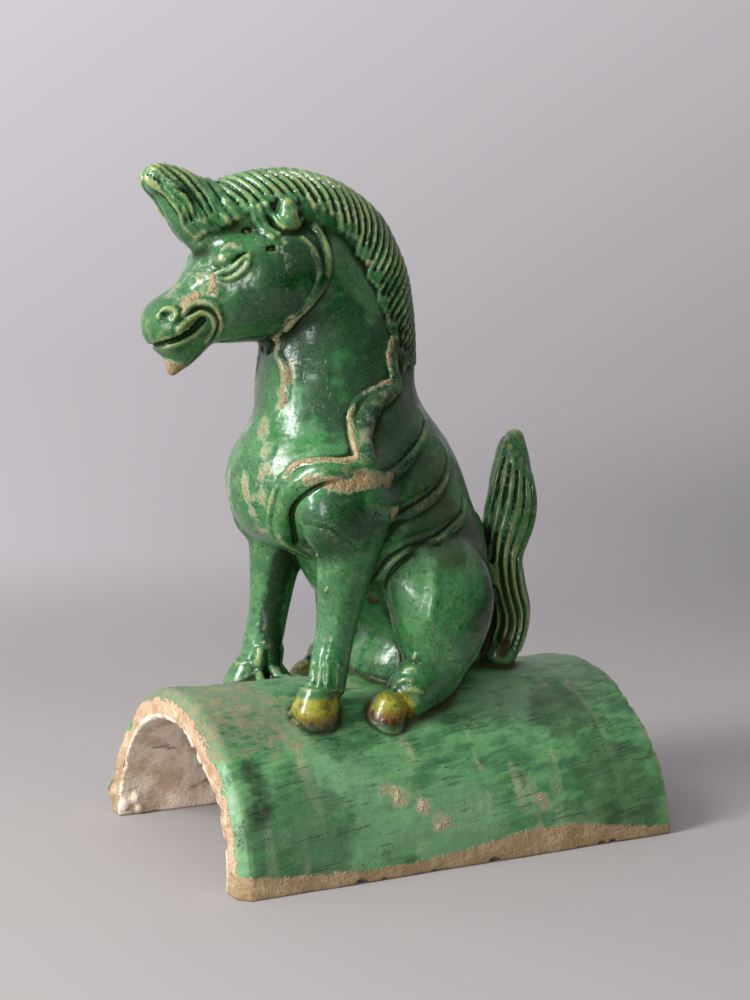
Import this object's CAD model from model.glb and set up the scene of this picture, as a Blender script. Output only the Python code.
import bpy
import numpy as np
from mathutils import Matrix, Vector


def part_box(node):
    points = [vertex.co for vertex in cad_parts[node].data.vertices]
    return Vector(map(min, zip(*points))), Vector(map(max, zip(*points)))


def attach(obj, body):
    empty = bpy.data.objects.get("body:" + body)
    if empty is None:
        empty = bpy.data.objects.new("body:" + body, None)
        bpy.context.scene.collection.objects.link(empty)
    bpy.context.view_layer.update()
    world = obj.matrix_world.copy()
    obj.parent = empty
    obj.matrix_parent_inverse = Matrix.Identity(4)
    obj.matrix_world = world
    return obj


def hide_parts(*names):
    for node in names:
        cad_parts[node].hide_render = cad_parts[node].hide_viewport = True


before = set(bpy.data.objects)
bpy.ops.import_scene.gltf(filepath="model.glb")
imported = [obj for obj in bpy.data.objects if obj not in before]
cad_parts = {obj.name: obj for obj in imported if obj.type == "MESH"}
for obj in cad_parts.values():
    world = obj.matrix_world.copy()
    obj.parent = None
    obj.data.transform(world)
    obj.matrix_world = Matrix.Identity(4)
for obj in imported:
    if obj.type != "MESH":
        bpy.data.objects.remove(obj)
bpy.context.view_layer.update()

# ----------------------------------------------------------------
# The view
# A long lens a little over 80 cm from the horse's left shoulder, looking slightly down on the tile.
# ----------------------------------------------------------------
VIEW_ANGLES = (60.605, 4.769, 0.888)
VIEW_DISTANCE = 0.81319
VIEW_LENS_MM = 57.85
VIEW_TARGET = (-0.03296, 0.01796, 0.15581)


def standing_back(angles, target, distance):
    """The placing of a camera or a light that looks at the target from a distance. It looks level along +Y
    until it is turned by the first angle, tipped down by the second and rolled by the third, in degrees."""
    turn, tip, roll = np.radians(angles)
    back = np.array([np.sin(turn) * np.cos(tip), -np.cos(turn) * np.cos(tip), np.sin(tip)])
    right = np.array([np.cos(turn), np.sin(turn), 0.0])
    up = np.cross(back, right)
    placing = np.eye(4)
    placing[:3, 0] = right * np.cos(roll) + up * np.sin(roll)
    placing[:3, 1] = up * np.cos(roll) - right * np.sin(roll)
    placing[:3, 2] = back
    placing[:3, 3] = np.array(target) + back * distance
    return Matrix(placing.tolist())


lens = bpy.data.cameras.new("view")
lens.sensor_fit = "VERTICAL"
lens.sensor_height = 36.0
lens.lens = VIEW_LENS_MM
lens.clip_start = 0.01
view_placing = standing_back(VIEW_ANGLES, VIEW_TARGET, VIEW_DISTANCE)
camera = bpy.data.objects.new("view", lens)
camera.matrix_world = view_placing
bpy.context.scene.collection.objects.link(camera)
bpy.context.scene.camera = camera

# ----------------------------------------------------------------
# The ridge tile
# An arched tile of red-buff earthenware, thrown as a drum and cut in half, its front end pared to a
# slope. Tile and horse were luted together wet and fired as one lump, so the whole ornament is worked
# out as one solid: for each point of a grid, how far it lies outside the clay, less than nothing inside.
# Lengths are millimetres until the mesh is made, with y measured from the tile's middle.
# ----------------------------------------------------------------
TILE_HALF_WIDTH = 80.0
TILE_HEIGHT = 74.0
TILE_HALF_LENGTH = 113.5
TILE_BORE = (64.5, 61.0)
TILE_PARING = 4.5
CELL = 1.0
LOW = np.array([-85.0, -136.0, -5.0])
HIGH = np.array([85.0, 119.0, 319.0])
FAR = 9.0
BOTH = (1, -1)

grid = [np.arange(a, b + CELL, CELL, dtype=np.float32) for a, b in zip(LOW, HIGH)]
clay = np.full([len(g) for g in grid], FAR, np.float32)


def window(low, high):
    """The block of the grid between two corners, and its x, y and z shaped to spread over the block."""
    cut = tuple(
        slice(max(0, int((a - g[0]) / CELL)), max(0, min(len(g), int((b - g[0]) / CELL) + 2)))
        for a, b, g in zip(low, high, grid)
    )
    x, y, z = (g[c] for g, c in zip(grid, cut))
    return cut, x[:, None, None], y[None, :, None], z[None, None, :]


def melt(cut, lump, fillet):
    """Adds a lump: the smaller of two distances, less a parabola as wide as the fillet where they meet."""
    block = clay[cut]
    near = np.clip(1 - np.abs(block - lump) / fillet, 0, 1)
    clay[cut] = np.minimum(block, lump) - near * near * fillet / 4


def press(cut, tool, fillet):
    """Takes a tool's shape away: the larger of the clay and minus the tool, with the same parabola added."""
    block = clay[cut]
    near = np.clip(1 - np.abs(block + tool) / fillet, 0, 1)
    clay[cut] = np.maximum(block, -tool) + near * near * fillet / 4


def arch(x, z, half_width, height):
    """How far a point lies outside an ellipse on the ground line, along the tile."""
    k0 = np.sqrt((x / half_width) ** 2 + (z / height) ** 2)
    k1 = np.sqrt((x / half_width**2) ** 2 + (z / height**2) ** 2) + 1e-6
    return (k0 * (k0 - 1) / k1).astype(np.float32)


def tile_solid(x, y, z):
    """The outer arch less the inner one, between the two ends, above the ground, and under a slope of
    45 degrees round the front end."""
    outer = arch(x, z, TILE_HALF_WIDTH, TILE_HEIGHT)
    front = -TILE_HALF_LENGTH - y
    solid = np.maximum(outer, -arch(x, z, *TILE_BORE))
    for side in (-z, y - TILE_HALF_LENGTH, front, (outer + front + TILE_PARING) * np.sqrt(0.5)):
        solid = np.maximum(solid, side)
    return solid.astype(np.float32)


cut, x, y, z = window(LOW, HIGH)
melt(cut, tile_solid(x, y, z), 1.0)

# ----------------------------------------------------------------
# The seated body
# A hollow-built barrel, neck and chest, pressed up by hand and wiped smooth. The horse sits straight
# along the tile, on a bed of clay, so that its weight is carried on the crown.
# ----------------------------------------------------------------
def curve(rows, step):
    """A Catmull-Rom curve through the rows, cut at equal lengths of its first three columns."""
    p = np.asarray(rows, float)
    count = max(4, int(np.linalg.norm(np.diff(p[:, :3], axis=0), axis=1).sum() / step))
    p = np.vstack([2 * p[0] - p[1], p, 2 * p[-1] - p[-2]])
    t = np.linspace(0, len(p) - 3, 12 * len(p))
    i = np.minimum(t.astype(int), len(p) - 4)
    f = (t - i)[:, None]
    a, b, c, d = p[i], p[i + 1], p[i + 2], p[i + 3]
    bend = 2 * a - 5 * b + 4 * c - d
    twist = 3 * b - a - 3 * c + d
    q = 0.5 * (2 * b + (c - a) * f + bend * f**2 + twist * f**3)
    run = np.r_[0, np.cumsum(np.linalg.norm(np.diff(q[:, :3], axis=0), axis=1))]
    return np.stack([np.interp(np.linspace(0, run[-1], count), run, column) for column in q.T], 1)


def sections(rows):
    """Rows of x, y, z, half width along X and half depth; a row without a depth is round."""
    return [row if len(row) == 5 else (*row, row[3]) for row in rows]


def limb(rows, fillet, step=4.0, blunt=0.7, join=melt):
    """A soft bar with elliptical sections along a curve. Each short stretch gives the distance to an
    ellipse whose half width is along X, and whose half depth is square to X and to the stretch."""
    s = curve(sections(rows), step)
    centre, wide, deep = s[:, :3], s[:, 3], s[:, 4]
    cap = deep.copy()
    cap[[0, -1]] = blunt * np.minimum(wide, deep)[[0, -1]]
    reach = np.maximum(wide, deep)[:, None] + FAR
    low, high = centre - reach, centre + reach
    cut, x, y, z = window(low.min(0), high.max(0))
    lump = np.full(np.broadcast_shapes(x.shape, y.shape, z.shape), FAR, np.float32)
    for a in range(len(s) - 1):
        b = a + 1
        part, x, y, z = window(np.minimum(low[a], low[b]), np.maximum(high[a], high[b]))
        inner = tuple(slice(p.start - c.start, p.stop - c.start) for p, c in zip(part, cut))
        x, y, z = (v - np.float32(o) for v, o in zip((x, y, z), centre[a]))
        way = (centre[b] - centre[a]).astype(np.float32)
        length2 = float(way @ way)
        t = np.clip((x * way[0] + y * way[1] + z * way[2]) / length2, 0, 1)
        u, ry, rz = x - t * way[0], y - t * way[1], z - t * way[2]
        u2 = u * u
        along2 = (u * way[0] + ry * way[1] + rz * way[2]) ** 2 / length2
        out2 = np.maximum(ry * ry + rz * rz - along2, 0)
        w = wide[a] + t * (wide[b] - wide[a])
        d = deep[a] + t * (deep[b] - deep[a])
        e = cap[a] + t * (cap[b] - cap[a])
        k0 = np.sqrt(u2 / w**2 + out2 / d**2 + along2 / e**2)
        k1 = np.sqrt(u2 / w**4 + out2 / d**4 + along2 / e**4) + 1e-6
        lump[inner] = np.minimum(lump[inner], np.maximum(k0 * (k0 - 1) / k1, -np.minimum(w, d)))
    join(cut, lump, fillet)


def limbs(rows, fillet, **how):
    """The same limb on the horse's left and right."""
    for side in BOTH:
        limb([(side * row[0], *row[1:]) for row in rows], fillet, **how)


def egg(x0, y0, z0, sizes, lean, fillet, join=melt):
    """An ellipsoid, its top leaned towards -Y by the angle in degrees."""
    reach = max(sizes) + FAR
    cut, x, y, z = window((x0 - reach, y0 - reach, z0 - reach), (x0 + reach, y0 + reach, z0 + reach))
    c, s = np.cos(np.radians(lean)), np.sin(np.radians(lean))
    u, v, w = x - x0, (y - y0) * c + (z - z0) * s, (z - z0) * c - (y - y0) * s
    sx, sy, sz = sizes
    k0 = np.sqrt((u / sx) ** 2 + (v / sy) ** 2 + (w / sz) ** 2)
    k1 = np.sqrt((u / sx**2) ** 2 + (v / sy**2) ** 2 + (w / sz**2) ** 2) + 1e-6
    join(cut, (k0 * (k0 - 1) / k1).astype(np.float32), fillet)


def eggs(x0, y0, z0, sizes, lean, fillet, join=melt):
    """The same egg on the horse's left and right."""
    for side in BOTH:
        egg(side * x0, y0, z0, sizes, lean, fillet, join)


limb(
    [
        (0, 18, 94, 38, 27), (0, 17, 110, 41, 30), (0, 14, 128, 42, 33),
        (0, 4, 147, 41.5, 37), (0, -8, 165, 40, 42), (0, -22, 182, 36, 39),
    ],
    2.5, blunt=0.75,
)
limb(
    [
        (0, -34, 168, 37, 37), (0, -31, 190, 35, 40), (0, -30, 212, 31, 39),
        (0, -31, 235, 28, 35), (0, -37, 255, 26, 30), (0, -48, 268, 25, 26),
    ],
    8,
)
egg(0, -48, 169, (38, 35, 33), -22, 8)  # breast
egg(0, -12, 138, (40, 33, 35), 20, 8)  # belly
eggs(31, -42, 167, (18, 24, 27), 0, 9)  # shoulders
egg(0, 10, 80, (31, 27, 19), 0, 4)  # bed under the rump
egg(0, 47, 108, (9, 12, 46), 0, 3)  # web between the rump and the tail

# ----------------------------------------------------------------
# The head
# Modelled solid on the end of the neck: a heavy round cheek, a narrow nose and a small pointed beard.
# ----------------------------------------------------------------
limb(
    [
        (0, -50, 270, 27, 24), (0, -66, 264, 28, 29), (0, -83, 256, 23, 23.5),
        (0, -99, 247.5, 16, 16), (0, -111, 241, 14.5, 14.5), (0, -117, 238.5, 13, 13),
    ],
    6,
)
eggs(14, -70, 262, (14, 20, 21), -20, 6)  # cheeks
eggs(10, -87, 272, (8.5, 11, 7.5), -30, 6)  # brows
limb([(0, -103, 235, 8), (0, -109, 228, 7), (0, -112.5, 221.5, 3.8), (0, -113.5, 217.5, 1.8)], 4)

# ----------------------------------------------------------------
# The mane and the forelock
# A roll of clay laid over the crest from the brow to the withers, and a second one that stands up
# over the forehead. The locks are laid on them later, one beside another.
# ----------------------------------------------------------------
MANE = [
    (0, -92, 289, 12, 14.5), (0, -76, 292, 19, 18), (0, -60, 294, 23, 19),
    (0, -43, 291.5, 24.5, 19), (0, -29, 284, 25, 18.5), (0, -19, 272, 25, 18),
    (0, -13, 257, 24.5, 17.5), (0, -9, 240, 23.5, 15), (0, -6, 222, 20, 13),
]
FORELOCK = [
    (0, -84, 281, 13, 14), (0, -97, 288, 12, 15), (0, -109, 298.3, 9.5, 11),
    (0, -115, 302, 8, 8), (0, -121, 304.5, 6.5, 7),
]


def wiped(field, rounds):
    """The same field wiped with a wet hand: each point takes half of itself and a quarter of its neighbours
    on both sides, along x, then y, then z."""
    for _ in range(rounds):
        for axis in range(3):
            m = np.moveaxis(field, axis, 0)
            m[1:-1] = 0.25 * m[:-2] + 0.5 * m[1:-1] + 0.25 * m[2:]
    return field


limb(MANE, 3, step=2)
limb(FORELOCK, 3, step=2)
wiped(clay, 3)

# ----------------------------------------------------------------
# The legs
# Rolled forelegs, a little different on each side, and folded hind legs with round thighs. The feet
# are bells of clay pinched out over the tile, with a lip where the hoof meets the hair.
# ----------------------------------------------------------------
eggs(38, 8, 112, (16, 26, 29), -6, 8)  # thighs
limbs([(37, 6, 84, 13, 13), (40, 6, 98, 16, 20), (40, 7, 112, 16, 23), (37, 8, 127, 14, 19)], 6)
limbs([(31, 10, 80, 12, 12), (36, 2, 77, 12, 12.5), (41, -13, 72, 10.2, 11)], 5)
eggs(38, -7, 122, (10, 14, 15), 0, 5)  # tops of the thighs
eggs(42, -6, 79, (9.5, 12, 10), 15, 4)  # insteps
limbs(
    [
        (34, -40, 160, 14, 21), (35.5, -42, 140, 12.5, 15), (35.5, -45, 118, 10.8, 11.5),
        (35.5, -48, 98, 9, 9.5), (36, -52, 78, 9.2, 9.5),
    ],
    5,
)
eggs(37, -50, 156, (13, 16, 19), 0, 3)  # upper arms
wiped(clay, 1)
HOOF = [
    (36.2, -54.5, 76, 8.8, 9.2), (36.8, -57, 71, 10, 10.4),
    (37.2, -58.5, 66, 10.8, 11.2), (37.4, -58.5, 61, 10.4, 10.8),
]
HIND_HOOF = [
    (40.5, -19, 69.5, 7.6, 7.8), (42, -22.5, 65.5, 8.8, 9.2),
    (43, -24.5, 61, 9, 9.4), (43.4, -25, 57, 8.6, 9),
]
limbs(HOOF, 1.2, blunt=0.4)
limbs(HIND_HOOF, 1.2, blunt=0.4)

# ----------------------------------------------------------------
# The tail and the ears
# The tail is a flat brush of clay stood up behind the rump on the crown of the tile. The ears are
# broken off to stubs.
# ----------------------------------------------------------------
TAIL = [
    (0, 63, 78, 12, 11), (0, 70, 96, 12, 12.8), (0, 67.5, 114, 12, 12), (0, 66, 129, 11, 10),
    (0, 71.5, 150, 10, 12.6), (0, 72, 166, 8.5, 11), (0, 72, 181, 6.5, 7), (0, 72.5, 190, 4.5, 3.5),
]
limb(TAIL, 2.5, step=2)
eggs(22, -66, 289, (6.5, 6.5, 6.5), 0, 2.0)
eggs(22.5, -67.5, 294.5, (4, 3.6, 3.2), 0, 1.5)
eggs(28.5, -60, 290.5, (5.5, 4.2, 5.5), 15, 0.6, join=press)

# ----------------------------------------------------------------
# The laid-on hair
# Strings of clay laid side by side on the mane, the forelock and the tail, each ending in a round tip.
# ----------------------------------------------------------------
MANE_LOCKS = 36
TAIL_STRANDS = 6


def sample(field, points):
    """The field at any points, weighted between the eight grid points around each."""
    q = (points - LOW) / CELL
    i = np.clip(q.astype(int), 0, np.array(field.shape) - 2)
    f = q - i
    total = np.zeros(len(points))
    for corner in np.ndindex(2, 2, 2):
        weight = np.prod(np.where(corner, f, 1 - f), axis=1)
        total += weight * field[tuple((i + corner).T)]
    return total


def slope(field, points, reach=1.0):
    """The way the field grows at the points, as unit vectors: outwards on the skin of the clay."""
    steps = reach * np.eye(3)
    grown = np.stack([sample(field, points + e) - sample(field, points - e) for e in steps], 1)
    return grown / (np.linalg.norm(grown, axis=1)[:, None] + 1e-9)


def line(rows, sink, fillet, join=melt, sides=BOTH):
    """A round string of clay laid on the skin, or a tool drawn along it. Rows are x, y, z and radius;
    the points are first moved square to the skin until they lie on it, then sunk by a share of the radius."""
    for side in sides:
        s = curve(np.asarray(rows, float) * [side, 1, 1, 1], 1.6)
        for _ in range(4):
            s[:, :3] -= sample(clay, s[:, :3])[:, None] * slope(clay, s[:, :3])
        s[:, :3] -= slope(clay, s[:, :3]) * sink * s[:, 3:4]
        reach = s[:, 3:4] + 4.0
        low, high = s[:, :3] - reach, s[:, :3] + reach
        cut, x, y, z = window(low.min(0), high.max(0))
        lump = np.full(np.broadcast_shapes(x.shape, y.shape, z.shape), 4.0, np.float32)
        for a in range(len(s) - 1):
            b = a + 1
            part, x, y, z = window(np.minimum(low[a], low[b]), np.maximum(high[a], high[b]))
            inner = tuple(slice(p.start - c.start, p.stop - c.start) for p, c in zip(part, cut))
            x, y, z = (v - o for v, o in zip((x, y, z), s[a, :3]))
            way = s[b, :3] - s[a, :3]
            t = np.clip((x * way[0] + y * way[1] + z * way[2]) / (way @ way + 1e-9), 0, 1)
            d = np.sqrt((x - t * way[0]) ** 2 + (y - t * way[1]) ** 2 + (z - t * way[2]) ** 2)
            lump[inner] = np.minimum(lump[inner], d - s[a, 3] - t * (s[b, 3] - s[a, 3]))
        join(cut, lump, fillet)


def on_limb(rows, along, turn):
    """Points on a limb: its centre at a share of its length, plus the half width times the sine of the
    turn along X, plus the half depth times the cosine of the turn outwards."""
    s = curve(sections(rows), 1.0)
    at = np.clip(along, 0, 1) * (len(s) - 1)
    place = np.arange(len(s))
    way = np.gradient(s[:, :3], axis=0)
    way /= np.linalg.norm(way, axis=1)[:, None]
    out = np.stack([0 * place, -way[:, 2], way[:, 1]], 1)
    s = np.hstack([s, out])
    s = np.stack([np.interp(at, place, column) for column in s.T], 1)
    across = s[:, 3:4] * np.sin(turn)[:, None] * np.array([1.0, 0, 0])
    return s[:, :3] + across + s[:, 4:5] * np.cos(turn)[:, None] * s[:, 5:8]


def combed(path, count, sink, sides=(1,)):
    """Strings laid side by side, then the tool drawn down between each pair. path gives the rows of a
    string by its number, and half-way numbers give the grooves."""
    tips = []
    for number in range(count):
        rows = path(number)
        if len(rows) > 2:
            line(rows, sink, 0.4, sides=sides)
            tips.append(rows[-1, :3])
    for number in range(count - 1):
        rows = path(number + 0.5)
        if len(rows) > 2:
            rows[:, 3] *= 0.5
            line(rows[:-1], 0.1, 0.3, join=press, sides=sides)
    return tips


def mane_lock(number):
    """A lock from the crest down to the edge of the mane, slanting back and thickest in its lower half."""
    start = 1.05 * (number + 0.2 + 0.25 * (side > 0)) / MANE_LOCKS - 0.08
    down = np.linspace(0.16, 1.0 + 0.05 * np.sin(2.1 * number + side), 8)
    down *= np.interp(start, [-0.05, 0.08, 0.2, 0.3, 0.42], [0.8, 0.68, 0.72, 0.88, 1.0])
    along = start + (0.12 + 0.12 * start) * down * (0.4 + 0.6 * down)
    kept = (along < 1.0) & (along > 0.005)
    places = on_limb(MANE, along[kept], side * 2.05 * down[kept])
    radius = np.interp(down[kept] / down.max(), [0.16, 0.4, 0.85, 1.0], [1.3, 1.9, 2.2, 1.8])
    return np.c_[places, radius * (1 + 0.1 * np.sin(5.3 * number + side))]


lock_tips = []
for side in BOTH:
    lock_tips += combed(mane_lock, MANE_LOCKS, 0.25)

fore_locks = np.array([
    [
        (2, -115, 310), (6, -109, 307), (9.5, -105, 301.5),
        (11, -101, 296.5), (13.5, -98, 290), (14.5, -92, 286),
    ],
    [
        (3, -122, 309), (8.5, -115.5, 303.5), (10.5, -109.5, 297),
        (12, -106, 291.5), (13, -103, 287), (13.5, -97, 283),
    ],
    [
        (2, -125, 306.5), (8.5, -119.5, 300.5), (10, -114, 296.5),
        (11, -110, 292), (10.5, -107, 287), (12, -102.5, 281),
    ],
    [
        (2.5, -125.5, 304), (6.5, -121, 299), (8, -117, 294),
        (9, -113.5, 290), (7, -110, 284), (8, -105, 278),
    ],
])


def fore_lock(number):
    """A lock of the forelock, between the ones listed."""
    row = min(number / 2, len(fore_locks) - 1)
    first = min(int(row), len(fore_locks) - 2)
    places = fore_locks[first] + (row - first) * (fore_locks[first + 1] - fore_locks[first])
    return np.c_[places, 1.4 + 0.7 * np.sin(np.linspace(0, np.pi, len(places)))]


lock_tips += combed(fore_lock, 7, 0.1, BOTH)

brow_locks = [
    [(6, -103, 304), (10.5, -99.5, 298), (13, -96, 292), (14.5, -93, 287)],
    [(4, -98, 304.5), (10.5, -95, 298.5), (14, -92, 293), (15.5, -89, 288.5)],
]
for lock in brow_locks:
    line(np.c_[lock, np.full(len(lock), 2.2)], 0.25, 0.5)
    lock_tips.append(lock[-1])

temple_curls = [
    [(20, -83, 292), (19.8, -81, 287), (21, -78, 283), (24, -75, 279.5)],
    [(20.3, -80, 293), (21.2, -78, 288), (22, -75, 284), (24.3, -72, 281.5)],
    [(21, -77, 294), (21.6, -75, 290), (23, -72.5, 286), (24.7, -70, 284)],
]
for curl in temple_curls:
    line(np.c_[curl, np.full(len(curl), 1.5)], 0.0, 0.3)


def tail_strand(number):
    """A strand of the brush, from its root to near its tip, waving a little from side to side."""
    along = np.linspace(0.06, 0.97 - 0.03 * number, 16)
    turn = side * (0.17 + 0.37 * number + 0.16 * np.sin(8 * along + 0.4 * number))
    return np.c_[on_limb(TAIL, along, turn), np.full(len(along), 2.3)]


for side in BOTH:
    combed(tail_strand, TAIL_STRANDS, 0.25)

for rows, radius in (
    ([(27.5, -57, 79), (32, -63, 78.5), (39, -64, 78.5), (45, -58, 78.5), (46, -51, 78)], 1.1),
    ([(36.5, -59.6, 90), (37, -60.5, 85), (38, -61, 80)], 1.3),
    ([(40.6, -57.8, 91), (41.5, -58.5, 85), (42, -59, 80)], 1.3),
    ([(43.2, -55.1, 90), (43.8, -55.3, 84), (44.5, -56, 80)], 1.2),
    ([(44.8, -50, 90), (45, -51, 85), (45.5, -51, 80)], 1.2),
    ([(43, -22, 76), (46, -18, 80), (47.5, -13, 79)], 1.4),
    ([(44.5, -19, 73), (47.5, -15, 76), (49, -10, 75)], 1.4),
    ([(42, -17, 82), (45, -13, 84), (47, -9, 82)], 1.2),
):
    line(np.c_[rows, np.full(len(rows), radius)], 0.45, 0.8)
for knob in ((40.6, -55.1, 123.1), (37, -57, 139.4), (45, -9, 92)):
    line([(*knob, 1.3), (knob[0] - 0.4, knob[1], knob[2] - 0.6, 1.3)], -0.2, 0.8, sides=(1,))
for claw in (
    [(-29, -50, 86, 3.0), (-26, -48, 80, 3.2), (-20, -45, 75.5, 2.2)],
    [(-30, -54, 84, 2.6), (-27, -56, 79, 2.8), (-22, -58, 75, 2.0)],
    [(-33, -45, 84, 2.4), (-31, -40, 78, 2.8), (-28, -35, 74.5, 2.2)],
):
    line(claw, 0.25, 1.6, sides=(1,))
eggs(7.5, 57.5, 163, (3.2, 4, 8), 0, 2, join=press)

# ----------------------------------------------------------------
# The face
# Sleepy eyes under heavy lids, a rim round the cheek, round nostrils and a mouth that turns up into
# two folds, all drawn and pinched with a wooden tool. Two vent holes are pricked on each side.
# ----------------------------------------------------------------
CHEEK_RIM = [
    (19.4, -53, 285.1, 2), (25.2, -49.8, 275.1, 2), (29.1, -49.7, 266, 2), (29.9, -52, 257, 2),
    (26.8, -56.8, 248.9, 2), (22.7, -62.2, 243.4, 2), (15.9, -64.8, 241.2, 2),
]
LOWER_LID = [
    (15, -100.5, 261.8, 1.2), (16.4, -97, 263.4, 1.8), (19.4, -93.3, 264.8, 1.9),
    (21, -90.2, 267.6, 1.8), (22.6, -87.2, 270.8, 1.3),
]
LOWER_FOLD = [
    (16.5, -100, 260.9, 0.9), (19.8, -95.9, 260.6, 1.4), (22, -92.4, 262, 1.6),
    (23.8, -88.7, 265.2, 1.6), (24.3, -86.6, 269, 1.4), (23, -86, 272, 0.9),
]
LIP_FOLD = [
    (13.3, -115.7, 237.8, 1.2), (15.1, -110.8, 243.1, 1.5), (16, -105, 245.9, 1.7),
    (15.8, -100.1, 243.4, 1.8), (13, -98.4, 238.2, 1.7), (9.6, -101.2, 233.7, 1.5),
]
OUTER_FOLD = [
    (14.3, -113.8, 244.3, 1.0), (14.7, -110.7, 248.8, 1.4), (15.9, -104.1, 250.3, 1.6),
    (16.7, -98.7, 246.9, 1.7), (14.2, -95.6, 240.5, 1.6), (6.9, -95.2, 233.9, 1.2),
]
THROAT_FOLD = [
    (15.9, -64.8, 241.2, 1.8), (11, -66, 236, 2.0), (9, -65, 229, 2.2), (13, -64, 222, 2.2),
    (15, -64, 214, 2.0), (15.5, -64.5, 207, 1.2),
]
line(CHEEK_RIM, 0.1, 1.0)
line(
    [
        (24.1, -60.9, 279, 1.6), (26.2, -56.9, 274.7, 1.6), (27.4, -54.4, 268.1, 1.6),
        (26.4, -54.3, 261.4, 1.6), (24.7, -57.8, 253.8, 1.6), (21.5, -65.1, 246.5, 1.6),
    ],
    0.1, 1.0,
)
eggs(15.6, -93.6, 269.4, (4.4, 5.4, 4.2), 25, 2.0)
line(
    [(16, -97, 270, 0.8), (15.6, -96, 273.3, 1.2), (17, -92.8, 275.7, 1.4), (20.2, -89.2, 274.4, 1.0)],
    0.5, 1.5,
)
line(LOWER_LID, 0.0, 0.5)
line(LOWER_FOLD, 0.1, 0.6)
line(
    [(19, -92.4, 268, 0.5), (20.2, -90, 270, 1.0), (21.2, -88.2, 271.4, 1.1), (22.4, -86.3, 272.8, 0.7)],
    0.4, 0.4, join=press,
)
for vent in ((13.6, -84, 281.1), (23.3, -77.2, 273)):
    line([(*vent, 1.5), (vent[0] - 0.5, vent[1] + 2.2, vent[2] + 0.5, 1.7)], 0.5, 0.4, join=press)
line(
    [
        (10.1, -123.8, 243.7, 1.7), (12.5, -121.7, 248, 1.9), (14.2, -118.6, 248.2, 1.9),
        (14.7, -116.6, 245.1, 1.7), (13.6, -118, 242.1, 1.3),
    ],
    0.1, 0.8,
)
eggs(13.4, -121.6, 244.6, (3.4, 2.8, 2.1), 0, 0.8, join=press)
line(LIP_FOLD, 0.0, 0.6)
line(OUTER_FOLD, 0.15, 0.6)
line(
    [
        (14.6, -113.6, 242, 0.5), (15.4, -109.5, 246.6, 0.8), (16.2, -105.4, 248, 0.8),
        (16.6, -100.3, 245.4, 0.8), (14.2, -97.8, 239.8, 0.8), (10, -98.5, 234.8, 0.5),
    ],
    0.3, 0.6, join=press,
)
line(
    [
        (1, -123, 230, 1.0), (8, -119, 232.6, 1.4), (11, -113.4, 235.2, 1.9),
        (12.5, -108.8, 238.2, 2.1), (13.6, -104.5, 242.2, 1.6),
    ],
    0.6, 0.5, join=press,
)
for crease in (
    [(16.7, -64.1, 239, 0.9), (9.7, -66.2, 233.2, 1.2), (2.6, -67.0, 229.0, 1.0)],
    [(9.9, -73.4, 235.2, 1.0), (7.3, -83.2, 233.8, 1.2), (4.5, -90.7, 232.8, 1.0)],
):
    line(crease, 0.2, 1.2, join=press)
line(THROAT_FOLD, 0.3, 1.5)

# ----------------------------------------------------------------
# The flame lock, the collar and the folds of the flank
# A wavy lock runs down from the end of the mane and turns into a flat collar round the breast, cut
# straight along its outer edge. Three folds of skin are drawn with the tool between it and the thigh.
# ----------------------------------------------------------------
FLAME_EDGE = [
    (25.2, -14.7, 236.4, 0.9), (27.9, -17.7, 226.2, 1.2), (28.3, -15.6, 218, 1.3), (30.4, -21.5, 214.8, 1.3),
    (32.2, -31.4, 210.6, 1.4), (32.4, -37.5, 205.6, 1.4), (35.4, -41.3, 198.9, 1.4), (44, -44.2, 190.3, 1.4),
    (47.6, -44, 184, 1.4),
]
COLLAR_EDGE = [
    (47.8, -45.7, 182.5, 1.2), (46.1, -53.3, 181.7, 1.4), (34.9, -66.5, 179.9, 1.4), (30.2, -70, 174.2, 1.4),
    (25, -73, 166, 1.4), (20.5, -73, 157.9, 1.3), (15.5, -70.5, 149.6, 1.2), (11.5, -63.5, 143, 1.0),
]
line(
    [
        (25, -12.5, 238, 1.4), (27.4, -14.3, 223, 2.8), (27.9, -13.0, 215, 3.4), (30.5, -18.5, 211, 4.2),
        (32.8, -28, 206, 5.2), (37.7, -34.5, 198, 5.8), (42, -38, 192, 5.8), (47, -39, 185, 5.5),
        (48, -38, 179, 4),
    ],
    0.3, 0.6,
)
line(FLAME_EDGE, 0.1, 0.5)
line(
    [
        (47, -42, 180, 4.5), (44, -53, 177, 5.4), (38, -61, 174, 5.8), (32, -66, 170, 5.8),
        (27, -68.5, 162, 5.6), (22.5, -68.5, 154, 5.4), (17, -65, 146, 5), (13, -60, 141, 3.5),
    ],
    0.6, 0.8,
)
line(COLLAR_EDGE, 0.1, 0.5)
line(
    [
        (45, -54, 171.5, 0.8), (43.1, -58.1, 170.9, 1.2), (37.8, -62.8, 166, 1.4), (29.6, -64.6, 159.7, 1.4),
        (24.7, -63, 151.5, 1.4), (18, -59.1, 143.4, 1.0),
    ],
    0.1, 1.0, join=press,
)
flank_folds = [
    [(26.5, 3.1, 196.1), (32.6, -2.6, 189.4), (36.2, -10, 182.8), (40.7, -17.9, 177.2), (47.8, -29.7, 173.8)],
    [
        (29.6, 15.3, 182), (34.2, 13.2, 175.3), (39.3, 4.7, 166.4), (40.4, -4, 161.2), (39, -13.8, 156.3),
        (42, -23.4, 155), (47.6, -32.9, 157.2),
    ],
    [
        (36.1, 22.9, 161), (39.1, 19.4, 154.3), (41.4, 10.3, 148.7), (40.9, 1.5, 143.4),
        (39.5, -11.1, 140), (37.4, -19.4, 134.6), (32.7, -24, 127.3),
    ],
]
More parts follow.
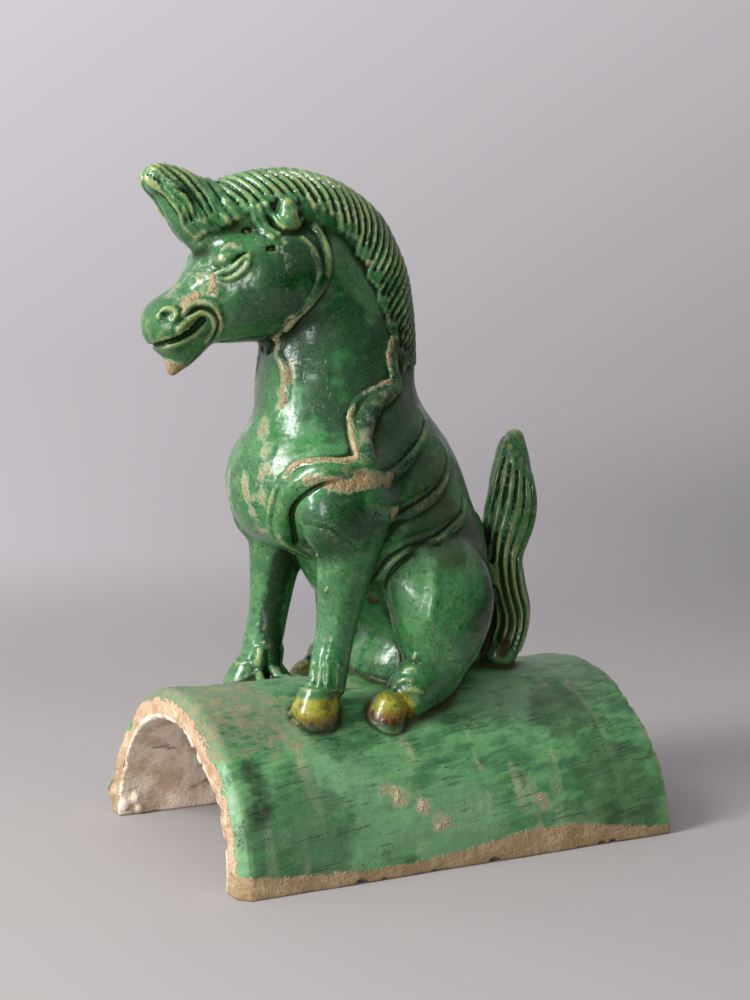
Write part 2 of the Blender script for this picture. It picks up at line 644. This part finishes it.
for fold in flank_folds:
    swell = np.sin(np.pi * (np.arange(len(fold)) + 0.6) / (len(fold) + 0.2))
    line(np.c_[np.array(fold) + (0, -2.8, 5.3), 3.5 + 4.5 * swell], 0.86, 4.0)
    line(np.c_[fold, 0.8 + 1.2 * swell], 0.5, 2.5)
    line(np.c_[np.array(fold) + (0, -2.2, 1.6), 0.3 + 0.5 * swell], 0.1, 1.5, join=press)
line(
    [(19.7, -68, 146.2, 1.3), (16.2, -61.3, 141, 1.5), (11.3, -53.6, 137.2, 1.5), (7, -47.5, 133.5, 1.2)],
    0.2, 0.8,
)
line(
    [
        (36, -19.5, 121, 0.5), (37.8, -17.5, 127.7, 0.7), (40, -15.5, 134.2, 0.8), (41.9, -11.4, 139, 0.8),
        (43.1, -5.6, 142, 0.7), (45.3, 1.6, 142, 0.5),
    ],
    0.2, 1.5, join=press,
)
line(
    [
        (44.3, -5.9, 138, 2.2), (48.8, -4, 132.8, 2.8), (51.2, -5.2, 126.5, 3.0),
        (53.3, -6.3, 117.4, 2.8), (53.4, -8.2, 109.3, 2.0),
    ],
    0.75, 3.0,
)
line(
    [
        (35.6, -66.1, 154.3, 0.5), (45.1, -62, 152, 0.7), (48.6, -55.3, 150.5, 0.8),
        (48.5, -48.6, 146.2, 0.7), (48, -43.2, 142.2, 0.5),
    ],
    0.0, 0.4, join=press,
)

# ----------------------------------------------------------------
# Hand marks and old damage
# Nothing is quite even: the clay waves under the fingers. The pared front end has a crack along it,
# both rims and the feet are chipped, and old mortar clings to the far foot.
# ----------------------------------------------------------------
MARKS_SEED = 11
CHIPS = 150
MORTAR_LUMPS = 14
CRACK_BEHIND_FRONT = 4.9
CRACK_RADIUS = 0.55
marks = np.random.default_rng(MARKS_SEED)


def waves(size):
    """Smooth noise: random heights on a coarse net, joined by soft steps along x, then y, then z."""
    out = marks.standard_normal([int(CELL * n / size) + 3 for n in clay.shape]).astype(np.float32)
    for axis, n in enumerate(clay.shape):
        at = np.arange(n) * CELL / size
        i = at.astype(int)
        f = (at - i).astype(np.float32)
        f = (f * f * (3 - 2 * f)).reshape([-1 if k == axis else 1 for k in range(3)])
        out = out.take(i, axis) * (1 - f) + out.take(i + 1, axis) * f
    return out


cut, x, y, z = window(LOW, HIGH)
melt(cut, tile_solid(x, y, z), 0.5)
clay += 0.45 * waves(30.0) + 0.22 * waves(11.0)
turn = np.radians(np.linspace(4, 150, 30))
crack_x, crack_z = TILE_HALF_WIDTH * np.cos(turn), TILE_HEIGHT * np.sin(turn)
crack_y = np.full(len(turn), CRACK_BEHIND_FRONT - TILE_HALF_LENGTH)
crack = np.c_[crack_x, crack_y, crack_z, np.full(len(turn), CRACK_RADIUS)]
line(crack, 0.0, 0.3, join=press, sides=(1,))
for chip in range(CHIPS):
    end = (-1, -1, 1)[chip % 3]
    turn = np.pi * marks.random()
    depth = (1.0, 0.82)[chip % 2]
    size = marks.uniform(0.8, 2.6)
    out, up = TILE_HALF_WIDTH * depth * np.cos(turn), TILE_HEIGHT * depth * np.sin(turn)
    place = (out, end * (TILE_HALF_LENGTH + 0.3 * size), up)
    if chip % 3 == 1:
        place = (marks.choice([-79, -65, 65, 79]), marks.uniform(-110, 110), 0.0)
    egg(*place, (size, size * marks.uniform(0.6, 1.5), size), 0, 0.8, join=press)
for lump in range(MORTAR_LUMPS):
    place = (-72 + marks.uniform(-6, 7), -107 + marks.uniform(-5, 9), marks.uniform(2, 13))
    size = marks.uniform(2.5, 5.0)
    egg(*place, (size, 0.8 * size, size), 0, 1.5)
clay = np.maximum(clay, -z)

# ----------------------------------------------------------------
# The skin of the clay
# The surface where the distance is nothing, taken as one closed net of faces and thinned to a
# weight that a library part can carry. Its corners get the normals of the field itself.
# ----------------------------------------------------------------
TRIANGLES = 190000


def skin(field):
    """Surface nets: one corner in each cell that the surface crosses, at the mean of its crossings of the
    cell's edges, and one four-sided face round each grid edge that it crosses."""
    inside = field < 0
    corners = list(np.ndindex(2, 2, 2))
    n = np.array(field.shape) - 1
    count = sum(
        inside[a : a + n[0], b : b + n[1], c : c + n[2]].astype(np.int8) for a, b, c in corners
    )
    crossed = (count > 0) & (count < 8)
    cells = np.argwhere(crossed)
    number = np.full(crossed.shape, -1, np.int32)
    number[crossed] = np.arange(len(cells))
    value = {corner: field[tuple((cells + corner).T)] for corner in corners}
    total, hits = np.zeros((len(cells), 3)), np.zeros(len(cells))
    faces = []
    for axis in range(3):
        first, second = (k for k in range(3) if k != axis)
        for p, q in np.ndindex(2, 2):
            a = [0, 0, 0]
            a[first], a[second] = p, q
            b = list(a)
            b[axis] = 1
            fa, fb = value[tuple(a)], value[tuple(b)]
            hit = (fa < 0) != (fb < 0)
            share = np.where(hit, fa / np.where(hit, fa - fb, 1), 0)
            total[hit] += (np.array(a) + share[:, None] * (np.array(b) - a))[hit]
            hits[hit] += 1
        lower, upper = [slice(1, -1)] * 3, [slice(1, -1)] * 3
        lower[axis], upper[axis] = slice(0, -1), slice(1, None)
        was, now = inside[tuple(lower)], inside[tuple(upper)]
        edge = np.argwhere(was != now)
        edge[:, [first, second]] += 1
        around = []
        for p, q in ((1, 1), (0, 1), (0, 0), (1, 0)):
            cell = edge.copy()
            cell[:, first] -= p
            cell[:, second] -= q
            around.append(number[tuple(cell.T)])
        ring = np.stack(around, 1)
        turned = was[was != now] == (axis == 1)
        ring[turned] = ring[turned][:, ::-1]
        faces.append(ring)
    return LOW + CELL * (cells + total / hits[:, None]), np.vstack(faces)


def thinned(corners, faces):
    """The net as a mesh, its edges folded away where they bend least until it has the triangles it may."""
    mesh = bpy.data.meshes.new("net")
    mesh.from_pydata(corners, [], faces.tolist())
    net = bpy.data.objects.new("net", mesh)
    bpy.context.scene.collection.objects.link(net)
    thin = net.modifiers.new("thin", "DECIMATE")
    thin.ratio = TRIANGLES / (2 * len(faces))
    seen = net.evaluated_get(bpy.context.evaluated_depsgraph_get())
    light = bpy.data.meshes.new_from_object(seen)
    bpy.data.objects.remove(net)
    bpy.data.meshes.remove(mesh)
    return light


corners, faces = skin(clay)
for _ in range(2):
    corners -= sample(clay, corners)[:, None] * slope(clay, corners, 0.5)
ornament_mesh = thinned(corners, faces)
flat = np.empty(3 * len(ornament_mesh.vertices))
ornament_mesh.vertices.foreach_get("co", flat)
spot = flat.reshape(-1, 3)

# ----------------------------------------------------------------
# What the kiln and the years left
# Glaze runs thin over ridges and pools in hollows, the hooves took an amber glaze, and corners are
# rubbed down to the clay. Each is worked out at the corners of the skin, for the glaze to read.
# ----------------------------------------------------------------
def smooth(value, low, high):
    """0 below low, 1 above high, and a soft S between them."""
    t = np.clip((value - low) / (high - low), 0, 1)
    return t * t * (3 - 2 * t)


def near_line(rows, radius, sides=BOTH):
    """1 on a line through the rows and 0 a radius or more away from it, on the sides asked for."""
    path = curve([row[:3] for row in rows], 1.0)
    best = np.full(len(spot), 1e9)
    for side in sides:
        for point in path * (side, 1, 1):
            best = np.minimum(best, ((spot - point) ** 2).sum(1))
    return smooth(-np.sqrt(best), -radius, -0.3 * radius)


def near_spots(rows):
    """1 at the middle of the nearest round spot and 0 at its edge. Rows are x, y, z and radius."""
    best = np.zeros(len(spot))
    for x0, y0, z0, radius in rows:
        away = np.sqrt(((spot - (x0, y0, z0)) ** 2).sum(1))
        best = np.maximum(best, smooth(-away, -radius, -0.4 * radius))
    return best


fine = wiped(np.clip(0.5 - clay / 2, 0, 1), 5)
coarse = wiped(fine.copy(), 30)
thin_glaze = np.clip(5 * (0.5 - sample(fine, spot)), -1, 1)
pooled_glaze = np.clip(5 * (sample(coarse, spot) - 0.5), -1, 1)

amber_glaze = np.zeros(len(spot))
for row, sides in [(row, (1,)) for row in HOOF[1:]] + [(row, BOTH) for row in HIND_HOOF[1:]]:
    for side in sides:
        away = np.sqrt((((spot - (side * row[0], row[1], row[2])) / (row[3] + 3)) ** 2).sum(1))
        amber_glaze = np.maximum(amber_glaze, smooth(-away, -1.12, -0.95))

rubbed_spots = [
    (0.4, [(*tip, 2.8) for tip in lock_tips[::2]]),
    (1.0, [(27, -60, 290, 5), (-27, -60, 290, 5), (0, -113, 220, 8)]),
    (0.55, [(69, -39, 37, 6), (71, -33, 33, 7), (74, -24, 29, 6), (77, -15, 22, 8), (76, 42, 24, 6)]),
    (0.6, [(13.6, -84, 281, 3.2), (23.3, -77, 273, 3.0)]),
    (0.22, [(8, -112, 258, 16), (9, -104, 272, 12)]),
    (1.0, [(46, -42, 174, 8), (44, -50, 176, 6), (47, -26, 172, 5), (46, -22, 157, 5)]),
]
rubbed_lines = [
    (0.8, 2.4, FLAME_EDGE), (0.8, 2.6, COLLAR_EDGE), (0.6, 3.0, CHEEK_RIM[4:]), (0.95, 1.8, LOWER_LID),
    (0.45, 2.0, LIP_FOLD), (0.45, 3.0, THROAT_FOLD), (0.42, 2.4, OUTER_FOLD),
    (0.9, 2.5, [(15, -100, 262), (16.8, -100, 255)]),
    (0.7, 3.5, [(12.5, -107, 253), (12, -112, 249)]),
    (0.6, 3.0, [(25, -69, 283), (27, -71, 269.5), (27, -70, 257)]),
    (0.5, 6.0, [(22, -64, 242), (20, -63, 232), (17, -65, 218), (15, -68, 205)]),
    (0.36, 6.0, [(6.6, -71.4, 196), (20, -75, 181), (17, -78, 162)]),
    (0.4, 5.0, [(9, -81, 172), (10.5, -73, 148)]),
    (0.7, 5.0, [(41.8, -64.5, 173), (46, -57, 172), (48.5, -45, 171), (48.7, -33, 173.5)]),
    (0.6, 2.0, [(15.9, -96, 273.3), (17, -92.8, 275.7), (20, -89.3, 274.2)]),
    (0.45, 5.0, [(53, 20, 88), (45, 36, 84), (32, 48, 83), (14, 66, 79)]),
    (0.5, 6.0, [(28, -24, 114), (30, -20, 98)]),
    (
        0.24, 7.0,
        [
            (27.9, -13, 215), (30.5, -18.5, 211), (32.8, -28, 206),
            (37.7, -34.5, 198), (42, -38, 192), (47, -39, 185),
        ],
    ),
]
rubbed = np.zeros(len(spot))
for share, spots in rubbed_spots:
    rubbed = np.maximum(rubbed, share * near_spots(spots))
for share, radius, rows in rubbed_lines:
    rubbed = np.maximum(rubbed, share * near_line(rows, radius))

thick_glaze = near_spots(
    [
        (side * x0, y0, z0, radius)
        for side in BOTH
        for x0, y0, z0, radius in (
            (24, -45, 232, 36), (28, -38, 208, 34), (20, -12, 228, 36), (37, -24, 190, 28),
            (43, -12, 170, 28), (42, 4, 150, 26), (40, 28, 140, 22), (46, 36, 112, 30),
            (24, -75, 255, 28), (26, -62, 266, 20), (6, -60, 232, 22), (32, 40, 96, 24),
            (46, -50, 154, 26), (22, -50, 150, 16), (72, -84, 22, 38), (50, 70, 58, 24),
            (74, 84, 22, 38), (50, -50, 62, 24),
        )
    ]
)
x0, y0, z0 = spot.T
off_tile = smooth(tile_solid(x0, y0, z0), 0.6, 2.5)
amber_glaze *= off_tile * smooth(-spot[:, 2], -76, -73)
dirt = near_spots(
    [
        (7, 50, 104, 14), (7, 50, 88, 12), (12, 60, 84, 8), (16, 58, 92, 6),
        (38, -63, 59, 6), (46, -23, 57, 5), (28, -24, 112, 7),
    ]
)
for share, radius, rows in (
    (0.7, 10.0, [(60, -100, 51), (65, -99, 45), (69, -100, 38), (72, -102, 33)]),
    (1.0, 9.0, [(-23, -42, 134), (-25, -46, 122), (-26, -48, 108), (-27, -50, 94), (-25, -47, 82)]),
):
    dirt = np.maximum(dirt, share * near_line(rows, radius, (1,)))

left_on_skin = {
    "thin": thin_glaze, "pooled": pooled_glaze, "amber": amber_glaze, "rubbed": rubbed,
    "thick": thick_glaze, "dirty": dirt, "off_tile": off_tile,
}
for name, values in left_on_skin.items():
    kept = ornament_mesh.attributes.new(name, "FLOAT", "POINT")
    kept.data.foreach_set("value", values.astype(np.float32))

normals = slope(clay, spot, 0.7)
_, cad_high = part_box("horse_ridge_tile")
middle = 1000 * cad_high.y - TILE_HALF_LENGTH
ornament_mesh.vertices.foreach_set("co", ((spot + (0, middle, 0)) * 0.001).ravel())
ornament_mesh.polygons.foreach_set("use_smooth", np.ones(len(ornament_mesh.polygons), bool))
ornament_mesh.normals_split_custom_set_from_vertices(normals.tolist())
ornament_mesh.update()

# ----------------------------------------------------------------
# The glaze
# Copper-green lead glaze over a buff slip: glassy and a little runny, emerald where it lies thick,
# yellow-green where it drew thin, nearly black in the grooves, crazed, pitted and specked with ash.
# The bare clay is a dry pinkish buff. All of it is one material, because it was one firing.
# ----------------------------------------------------------------
MODE = {
    "Math": "operation", "VectorMath": "operation", "MapRange": "interpolation_type", "Mix": "data_type",
    "TexVoronoi": "feature", "VectorRotate": "rotation_type", "Attribute": "attribute_name",
}
SOFT = "MapRange SMOOTHSTEP"
MIX = "Mix RGBA"


def linear(colour):
    """An sRGB hex colour as the linear red, green, blue and alpha that a shader works in."""
    parts = [int(colour[k : k + 2], 16) / 255 for k in (1, 3, 5)]
    return [p / 12.92 if p <= 0.04045 else ((p + 0.055) / 1.055) ** 2.4 for p in parts] + [1.0]


class Wire:
    """A node's output that can be reckoned with like a number: each sum adds the node that works it out."""

    def __init__(self, socket):
        self.socket = socket

    def __add__(self, other):
        return add("Math ADD", self, other)

    def __sub__(self, other):
        return add("Math SUBTRACT", self, other)

    def __rsub__(self, other):
        return add("Math SUBTRACT", other, self)

    def __mul__(self, other):
        return add("Math MULTIPLY", self, other)

    def __truediv__(self, other):
        return add("Math DIVIDE", self, other)

    __radd__, __rmul__ = __add__, __mul__


def add(kind, *values, out=0, **named):
    """Adds a node of a kind, with its mode after a space, and gives one of its outputs. The values go to its
    open inputs in order, the named ones by name. Each is a number, a vector, a hex colour or a wire."""
    kind, _, mode = kind.partition(" ")
    node = nodes.new("ShaderNode" + kind)
    if mode:
        setattr(node, MODE[kind], mode)
    pairs = list(zip([socket for socket in node.inputs if socket.enabled], values))
    pairs += [(node.inputs[name.replace("_", " ")], value) for name, value in named.items()]
    for socket, value in pairs:
        if isinstance(value, Wire):
            links.new(value.socket, socket)
        else:
            socket.default_value = linear(value) if isinstance(value, str) else value
    if isinstance(out, str):
        return Wire(node.outputs[out])
    given = [socket for socket in node.outputs if socket.enabled]
    return Wire(given[out]) if given else None


def emptied(owner):
    """The nodes and links of a material or a world, with nothing in them yet."""
    owner.use_nodes = True
    owner.node_tree.nodes.clear()
    return owner.node_tree.nodes, owner.node_tree.links


def noise(size_mm, detail=3.0, rough=0.55, stretch=(1, 1, 1), lean=0.0, at=(0, 0, 0)):
    """Cloudy noise with lumps of a size in millimetres, drawn out and leaned along the tile if asked."""
    turned = add("VectorRotate X_AXIS", place, Angle=lean)
    return add("TexNoise", add("Mapping", turned, Location=at, Scale=stretch), 1000 / size_mm, detail, rough)


def cracks(size_mm, seed=0.0):
    """The distance to the nearest wall of a net of cells, in cells: the net that crazing draws."""
    bent = add("TexNoise", place, 1000 / (1.5 * size_mm), 2.0, out=1)
    moved = add("VectorMath MULTIPLY_ADD", bent, (0.5 * size_mm / 1000,) * 3, place)
    return add("TexVoronoi DISTANCE_TO_EDGE", add("Mapping", moved, (seed,) * 3), 1000 / size_mm)


def ellipse(half_width, height):
    """0 along the middle of the tile's foot and 1 on an ellipse of that half width and height round it."""
    return add("Math POWER", x_mm / half_width, 2.0) + add("Math POWER", z_mm / height, 2.0)


glaze = bpy.data.materials.new("copper_green_lead_glaze")
nodes, links = emptied(glaze)
place = add("TexCoord", out="Object")
x_mm, y_mm, z_mm = (1000.0 * add("SeparateXYZ", place, out=axis) for axis in range(3))
y_mm = y_mm - middle
thin, pooled, amber, worn, thick, dirty, on_horse = (
    add("Attribute " + name, out="Fac")
    for name in ("thin", "pooled", "amber", "rubbed", "thick", "dirty", "off_tile")
)
on_tile = 1.0 - on_horse

broad = noise(45, 2.0)
cloudy = noise(14, 4.0)
patchy = noise(6, 4.0, 0.65, at=(3, 1, 2))
speckle = noise(1.6, 3.0, 0.7)
dragged = noise(1.5, 2.0, 0.6, stretch=(1, 0.06, 1), lean=-0.1)
run_down = noise(12, 2.0, 0.5, stretch=(0.12, 1, 0.12), at=(0, 9, 0))
streaky = noise(5, 4.0, 0.6, stretch=(1, 0.25, 1), lean=-0.25)
ragged = patchy + 0.35 * speckle - 0.67

# Where the clay is bare: the bore, both ends but for a lip of glaze that laps over their edge, a band
# along the foot that the glaze stopped short of, and the places that are rubbed.
in_bore = add("Math LESS_THAN", ellipse(66.5, 63.0), 1.0)
low_down = add("Math LESS_THAN", z_mm, TILE_HEIGHT + 3.0)
past_end = add("Math GREATER_THAN", add("Math ABSOLUTE", y_mm), TILE_HALF_LENGTH - 0.8)
at_ends = past_end * low_down * add(SOFT, ellipse(76.0, 70.5) + 0.5 * ragged, 1.02, 0.98)
FOOT_BAND = [(0, 10), (0.35, 6), (0.52, 9), (0.64, 12), (0.74, 12), (0.84, 9), (0.94, 6), (1, 5)]
HIGHEST_BAND = 20.0
band = add("FloatCurve", Value=(y_mm + TILE_HALF_LENGTH) / (2 * TILE_HALF_LENGTH))
band_shape = band.socket.node.mapping
band_points = band_shape.curves[0].points
band_points[0].location = (0, FOOT_BAND[0][1] / HIGHEST_BAND)
band_points[1].location = (1, FOOT_BAND[-1][1] / HIGHEST_BAND)
for share, height in FOOT_BAND[1:-1]:
    band_points.new(share, height / HIGHEST_BAND)
band_shape.update()
on_band = add(SOFT, z_mm - HIGHEST_BAND * band - 5.0 * ragged, 0.5, -0.5)
wear = worn + 1.9 * ragged
film = add(SOFT, wear, 0.1, 0.5, 0.0, 0.8) * add(SOFT, worn, 0.03, 0.25)
rubbed_through = add(SOFT, wear, 0.48, 0.8)
crown_front = add(SOFT, y_mm, -35.0, -85.0) * add(SOFT, z_mm, 40.0, 64.0) * on_tile
scuffed = add(SOFT, 0.44 * crown_front + 0.6 * streaky + 0.5 * ragged, 0.58, 0.72)
bare = add("Math MAXIMUM", in_bore, at_ends)
bare = add("Math MAXIMUM", bare, add("Math MAXIMUM", on_band, rubbed_through))

# The colour of the glaze: leaf green, emerald where it is thick, olive on the back, paler on the tile.
fleck = noise(2.4, 4.0, 0.7, at=(1, 5, 2))
vein = add("Math ABSOLUTE", noise(11, 5.0, 0.6, at=(2, 8, 4)) - 0.5)
green = add(MIX, add(SOFT, broad, 0.38, 0.62), "#2d6433", "#3d7a45")
green = add(MIX, add(SOFT, patchy, 0.48, 0.66, 0.0, 0.55), green, "#5f8d54")
tile_green = add(MIX, add(SOFT, streaky, 0.36, 0.64), "#356f41", "#5f9a60")
tile_green = add(MIX, add(SOFT, broad, 0.42, 0.62, 0.0, 0.6), tile_green, "#7eaa7c")
runs = add(SOFT, run_down, 0.55, 0.68, 0.0, 0.6) * add(SOFT, cloudy, 0.4, 0.6)
tile_green = add(MIX, runs, tile_green, "#aab489")
green = add(MIX, 0.95 * on_tile, green, tile_green)
deep = add(SOFT, 0.8 * thick + 2.4 * (cloudy - 0.5) + (patchy - 0.5), 0.1, 0.75) * (1.0 - 0.45 * on_tile)
emerald = add(MIX, add(SOFT, y_mm + 60.0 * cloudy, 5.0, 50.0), "#13421c", "#2c4217")
green = add(MIX, 0.9 * deep, green, emerald)
green = add(MIX, add(SOFT, fleck, 0.54, 0.66, 0.0, 0.6) * (1.0 - 0.7 * on_tile), green, "#16331a")
green = add(MIX, add(SOFT, vein, 0.018, 0.0, 0.0, 0.5) * on_horse, green, "#14280f")
green = add(MIX, film, green, add(MIX, add(SOFT, wear, 0.2, 0.55), "#86a184", "#a39a70"))
groove = add(SOFT, thin, -0.05, -0.45)
green = add(MIX, add(SOFT, thin + 1.2 * ragged, 0.2, 0.8, 0.0, 0.8), green, "#929f5e")
green = add(MIX, 0.92 * groove, green, "#15220d")
in_pool = add(SOFT, pooled, 0.15, 0.7, 0.0, 0.7) * (1.0 - 0.5 * on_tile)
green = add(MIX, in_pool, green, add(MIX, on_tile, "#172a10", "#4a3f22"))
drag_marks = add(SOFT, dragged, 0.54, 0.70) * add(SOFT, cloudy, 0.38, 0.58) * on_tile
green = add(MIX, 0.6 * drag_marks, green, "#1f4424")
burnt = 0.06 * (66.0 - z_mm) + (patchy - 0.5)
brown = add(MIX, add(SOFT, patchy, 0.38, 0.58), "#5b5f12", "#97952c")
brown = add(MIX, add(SOFT, burnt, -0.15, 0.15), brown, "#6b450c")
brown = add(MIX, add(SOFT, burnt, 0.08, 0.3), brown, "#241205")
green = add(MIX, amber, green, brown)

# Crazing and pits, drawn a little coarser than they are so that they show, then ash, the milky scuff
# on the crown, and soil in the hollows.
craze = add(SOFT, cracks(3.2), 0.035, 0.0) * add(SOFT, thick * cloudy, 0.35, 0.55) * on_horse
fine_craze = add(SOFT, cracks(1.9, 5.0), 0.05, 0.0) * add(SOFT, patchy, 0.50, 0.66, 0.0, 0.5) * on_horse
pits = add(SOFT, noise(1.1, 2.0, 0.5), 0.64, 0.71) * add(SOFT, cloudy, 0.38, 0.58)
ash = add(SOFT, noise(2.3, 2.0, 0.6, at=(7, 7, 7)), 0.68, 0.76, 0.0, 0.45)
green = add(MIX, 0.6 * add("Math MAXIMUM", craze, fine_craze), green, "#0f1c0b")
green = add(MIX, 0.85 * pits, green, "#191d0d")
green = add(MIX, ash, green, "#97a173")
scuff_colour = add(MIX, add(SOFT, patchy, 0.42, 0.62), "#66775a", "#8b7f60")
green = add(MIX, 0.75 * scuffed, green, scuff_colour)
soil = add(MIX, add(SOFT, y_mm, 20.0, 50.0), "#172011", "#3a2a12")
soiled = add(SOFT, dirty + ragged * (2.0 - 1.4 * on_tile), 0.2, 0.9, 0.0, 0.85)
green = add(MIX, soiled, green, soil)

# The bare clay: buff with darker grit, browner on the foot and the horse, pale and dusty in the bore.
band_colour = add(MIX, add(SOFT, patchy, 0.45, 0.65), "#a08862", "#b6a07a")
horse_clay = add(MIX, add(SOFT, cloudy, 0.4, 0.6), "#b29c72", "#937a50")
bore_colour = add(MIX, add(SOFT, cloudy, 0.42, 0.62), "#f0dfcc", "#cfb699")
bore_colour = add(MIX, add(SOFT, streaky, 0.56, 0.7, 0.0, 0.7), bore_colour, "#6f5c4a")
clay_colour = add(MIX, add(SOFT, cloudy, 0.35, 0.65), "#c4a685", "#ad8c68")
clay_colour = add(MIX, add(SOFT, patchy, 0.48, 0.66, 0.0, 0.85), clay_colour, "#d9c5a8")
clay_colour = add(MIX, on_band, clay_colour, band_colour)
clay_colour = add(MIX, on_horse, clay_colour, horse_clay)
clay_colour = add(MIX, add(SOFT, speckle, 0.57, 0.70, 0.0, 0.7), clay_colour, "#5f4a34")
clay_colour = add(MIX, in_bore, clay_colour, bore_colour)
colour = add(MIX, bare, green, clay_colour)

# Glassy on the horse, duller on the tile, dry where bare. Grooves and pools hold grime and don't shine.
roughness = 0.2 + 0.16 * add(SOFT, patchy, 0.40, 0.75) + 0.24 * on_tile
roughness = roughness + 0.5 * add("Math MAXIMUM", bare, 0.6 * scuffed)
height = 0.6 * noise(9, 2.0, 0.5) + 0.3 * noise(5, 1.0, 0.4) + 0.02 * speckle + 0.12 * (speckle * on_tile)
height = height - 0.3 * pits - 0.08 * craze - 0.3 * drag_marks + 0.12 * ash
height = height - 0.15 * bare + 0.9 * (bare * (speckle + patchy))
grimy = add("Math MAXIMUM", groove, add(SOFT, pooled, 0.15, 0.7))
grimy = add("Math MAXIMUM", grimy, soiled)
surface = add(
    "BsdfPrincipled", Base_Color=colour, Roughness=roughness, IOR=1.6, Specular_IOR_Level=0.5 - 0.38 * grimy,
    Normal=add("Bump", Strength=0.8, Distance=0.0011, Height=height),
)
add("OutputMaterial", surface)

ornament_mesh.materials.clear()
ornament_mesh.materials.append(glaze)
ornament = bpy.data.objects.new("horse_on_ridge_tile", ornament_mesh)
bpy.context.scene.collection.objects.link(ornament)
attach(ornament, "root")
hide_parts("horse_ridge_tile")

# ----------------------------------------------------------------
# The room
# A pale floor that fades into an even pale surround, and a tall window before the horse, a little to
# its left. The surround is brighter towards the window, as a white room is.
# ----------------------------------------------------------------
FLOOR_RADIUS = 6.0
FLOOR_CORNERS = 96
FADE_FROM, FADE_TO = 0.3, 1.2
LIGHT_MIDDLE = (0.0, 0.0, 0.16)
ROOM_BRIGHTNESS = 0.52
ROOM_SLOPE = 0.40
WINDOW_WAY = (-0.34, -0.94, 0.0)
DARK_WAY = (0.94, -0.34, 0.0)
DARK_DEPTH = 0.32
ROOM_COLOUR = "#fff9ff"
PAPER_COLOUR = "#a9a6a4"


def room_brightness(way):
    """How bright the room is in a direction: more towards the window and higher up, less on the dark side."""
    high = add("SeparateXYZ", way, out=2)
    above = add("Math MAXIMUM", high, 0.0)
    slope_there = add(SOFT, high, 0.0, -0.1, 0.0, 0.24) + ROOM_SLOPE
    lit = add("VectorMath DOT_PRODUCT", way, WINDOW_WAY) * slope_there + ROOM_BRIGHTNESS
    dark = DARK_DEPTH * add("Math MAXIMUM", add("VectorMath DOT_PRODUCT", way, DARK_WAY), 0.0)
    return lit + 0.55 * add("Math MINIMUM", above, 0.3) - dark


world = bpy.data.worlds.new("room_light")
nodes, links = emptied(world)
add("OutputWorld", add("Background", ROOM_COLOUR, room_brightness(add("TexCoord", out="Generated"))))
bpy.context.scene.world = world
bpy.context.scene.view_settings.view_transform = "Standard"

# Paper: matt and plain near the ornament, then as bright as the room seen in the same direction.
paper = bpy.data.materials.new("pale_paper")
nodes, links = emptied(paper)
place = add("TexCoord", out="Object")
way = add("VectorMath NORMALIZE", add("VectorMath SUBTRACT", place, tuple(view_placing.translation)))
far_away = add(SOFT, add("VectorMath LENGTH", place), FADE_FROM, FADE_TO)
far_paper = add("Emission", ROOM_COLOUR, room_brightness(way))
add("OutputMaterial", add("MixShader", far_away, add("BsdfDiffuse", PAPER_COLOUR), far_paper))
turn = np.linspace(0, 2 * np.pi, FLOOR_CORNERS, endpoint=False)
rim = FLOOR_RADIUS * np.c_[np.cos(turn), np.sin(turn), 0 * turn]
floor_mesh = bpy.data.meshes.new("floor")
floor_mesh.from_pydata(rim.tolist(), [], [list(range(FLOOR_CORNERS))])
floor_mesh.materials.append(paper)
floor = bpy.data.objects.new("floor", floor_mesh)
bpy.context.scene.collection.objects.link(floor)


def window_light(name, azimuth, height, distance, size, watts):
    """A soft rectangular light that faces the ornament from a compass direction and a height angle."""
    lamp = bpy.data.lights.new(name, "AREA")
    lamp.shape = "RECTANGLE"
    lamp.size, lamp.size_y = size
    lamp.energy = watts
    light = bpy.data.objects.new(name, lamp)
    light.matrix_world = standing_back((azimuth, height, 0), LIGHT_MIDDLE, distance)
    bpy.context.scene.collection.objects.link(light)


window_light("window", 6, 28, 1.4, (0.31, 1.1), 25)
window_light("low_window", 46, 6, 1.4, (0.3, 0.3), 4)
